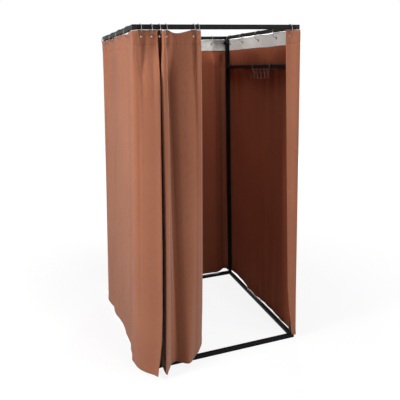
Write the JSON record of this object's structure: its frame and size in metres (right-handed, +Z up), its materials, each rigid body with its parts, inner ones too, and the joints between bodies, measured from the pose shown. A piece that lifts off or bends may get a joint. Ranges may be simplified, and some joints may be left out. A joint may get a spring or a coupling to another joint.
{
  "type": "portable fitting room",
  "caption": "Portable fitting room: a black square-tube frame with ringed brown curtains all round, drawn open in front, and a hook rack on an inner bar.",
  "frame": {"origin": "middle of the whole footprint, on the floor", "axes": "+X to the right as seen from the doorway, +Y from the doorway to the back, +Z up"},
  "size_m": [1.1068, 1.2314, 2.0049],
  "materials": {
    "black_paint": "black powder coat, satin",
    "black_plastic": "moulded black plastic",
    "chrome": "bright chrome plate",
    "curtain_cloth": "matt terracotta brown woven cloth",
    "header_tape": "white woven header tape"
  },
  "bodies": {
    "frame": {"post_front_left": "black_paint", "post_front_right": "black_paint", "post_back_left": "black_paint", "post_back_right": "black_paint", "bottom_rail_front": "black_paint", "bottom_rail_back": "black_paint", "bottom_rail_left": "black_paint", "bottom_rail_right": "black_paint", "top_rail_front": "black_paint", "top_rail_back": "black_paint", "top_rail_left": "black_paint", "top_rail_right": "black_paint", "corner_bottom_front_left": "black_plastic", "corner_bottom_front_right": "black_plastic", "corner_bottom_back_left": "black_plastic", "corner_bottom_back_right": "black_plastic", "corner_top_front_left": "black_plastic", "corner_top_front_right": "black_plastic", "corner_top_back_left": "black_plastic", "corner_top_back_right": "black_plastic", "knob_bottom_front_left": "black_plastic", "knob_bottom_front_right": "black_plastic", "knob_bottom_back_left": "black_plastic", "knob_bottom_back_right": "black_plastic", "knob_top_front_left": "black_plastic", "knob_top_front_right": "black_plastic", "knob_top_back_left": "black_plastic", "knob_top_back_right": "black_plastic", "hanging_bar": "black_paint", "bar_plug_front": "black_plastic", "bar_plug_back": "black_plastic", "left_curtain": "curtain_cloth", "left_header_tape": "header_tape", "left_ring_1": "chrome", "left_ring_2": "chrome", "left_ring_3": "chrome", "left_ring_4": "chrome", "left_ring_5": "chrome", "left_ring_6": "chrome", "left_ring_7": "chrome", "front_curtain": "curtain_cloth", "front_header_tape": "header_tape", "front_ring_1": "chrome", "right_curtain": "curtain_cloth", "right_header_tape": "header_tape", "right_ring_1": "chrome", "right_ring_2": "chrome", "right_ring_3": "chrome", "right_ring_4": "chrome", "right_ring_5": "chrome", "back_curtain": "curtain_cloth", "back_header_tape": "header_tape", "back_ring_1": "chrome", "back_ring_2": "chrome", "back_ring_3": "chrome", "back_ring_4": "chrome"},
    "second_ring": {"front_ring_2": "chrome"},
    "third_ring": {"front_ring_3": "chrome"},
    "lead_ring": {"front_ring_4": "chrome"},
    "hook_rack": {"hook_rack": "chrome"}
  },
  "joints": [
    {"name": "front_curtain_draw", "type": "slide", "parent": "frame", "child": "lead_ring", "axis": [1, 0, 0], "range_m": [0, 0.5], "deforming": ["front_curtain", "front_header_tape"]},
    {"name": "second_ring_slide", "type": "slide", "parent": "frame", "child": "second_ring", "axis": [1, 0, 0], "range_m": [0, 0.202]},
    {"name": "third_ring_slide", "type": "slide", "parent": "frame", "child": "third_ring", "axis": [1, 0, 0], "range_m": [0, 0.287]},
    {"name": "hook_rack_slide", "type": "slide", "parent": "frame", "child": "hook_rack", "axis": [0, 1, 0], "range_m": [-0.29, 0.47]}
  ],
  "couplings": [
    {"joint": "second_ring_slide", "follows": "front_curtain_draw", "ratio": 0.404},
    {"joint": "third_ring_slide", "follows": "front_curtain_draw", "ratio": 0.574}
  ]
}
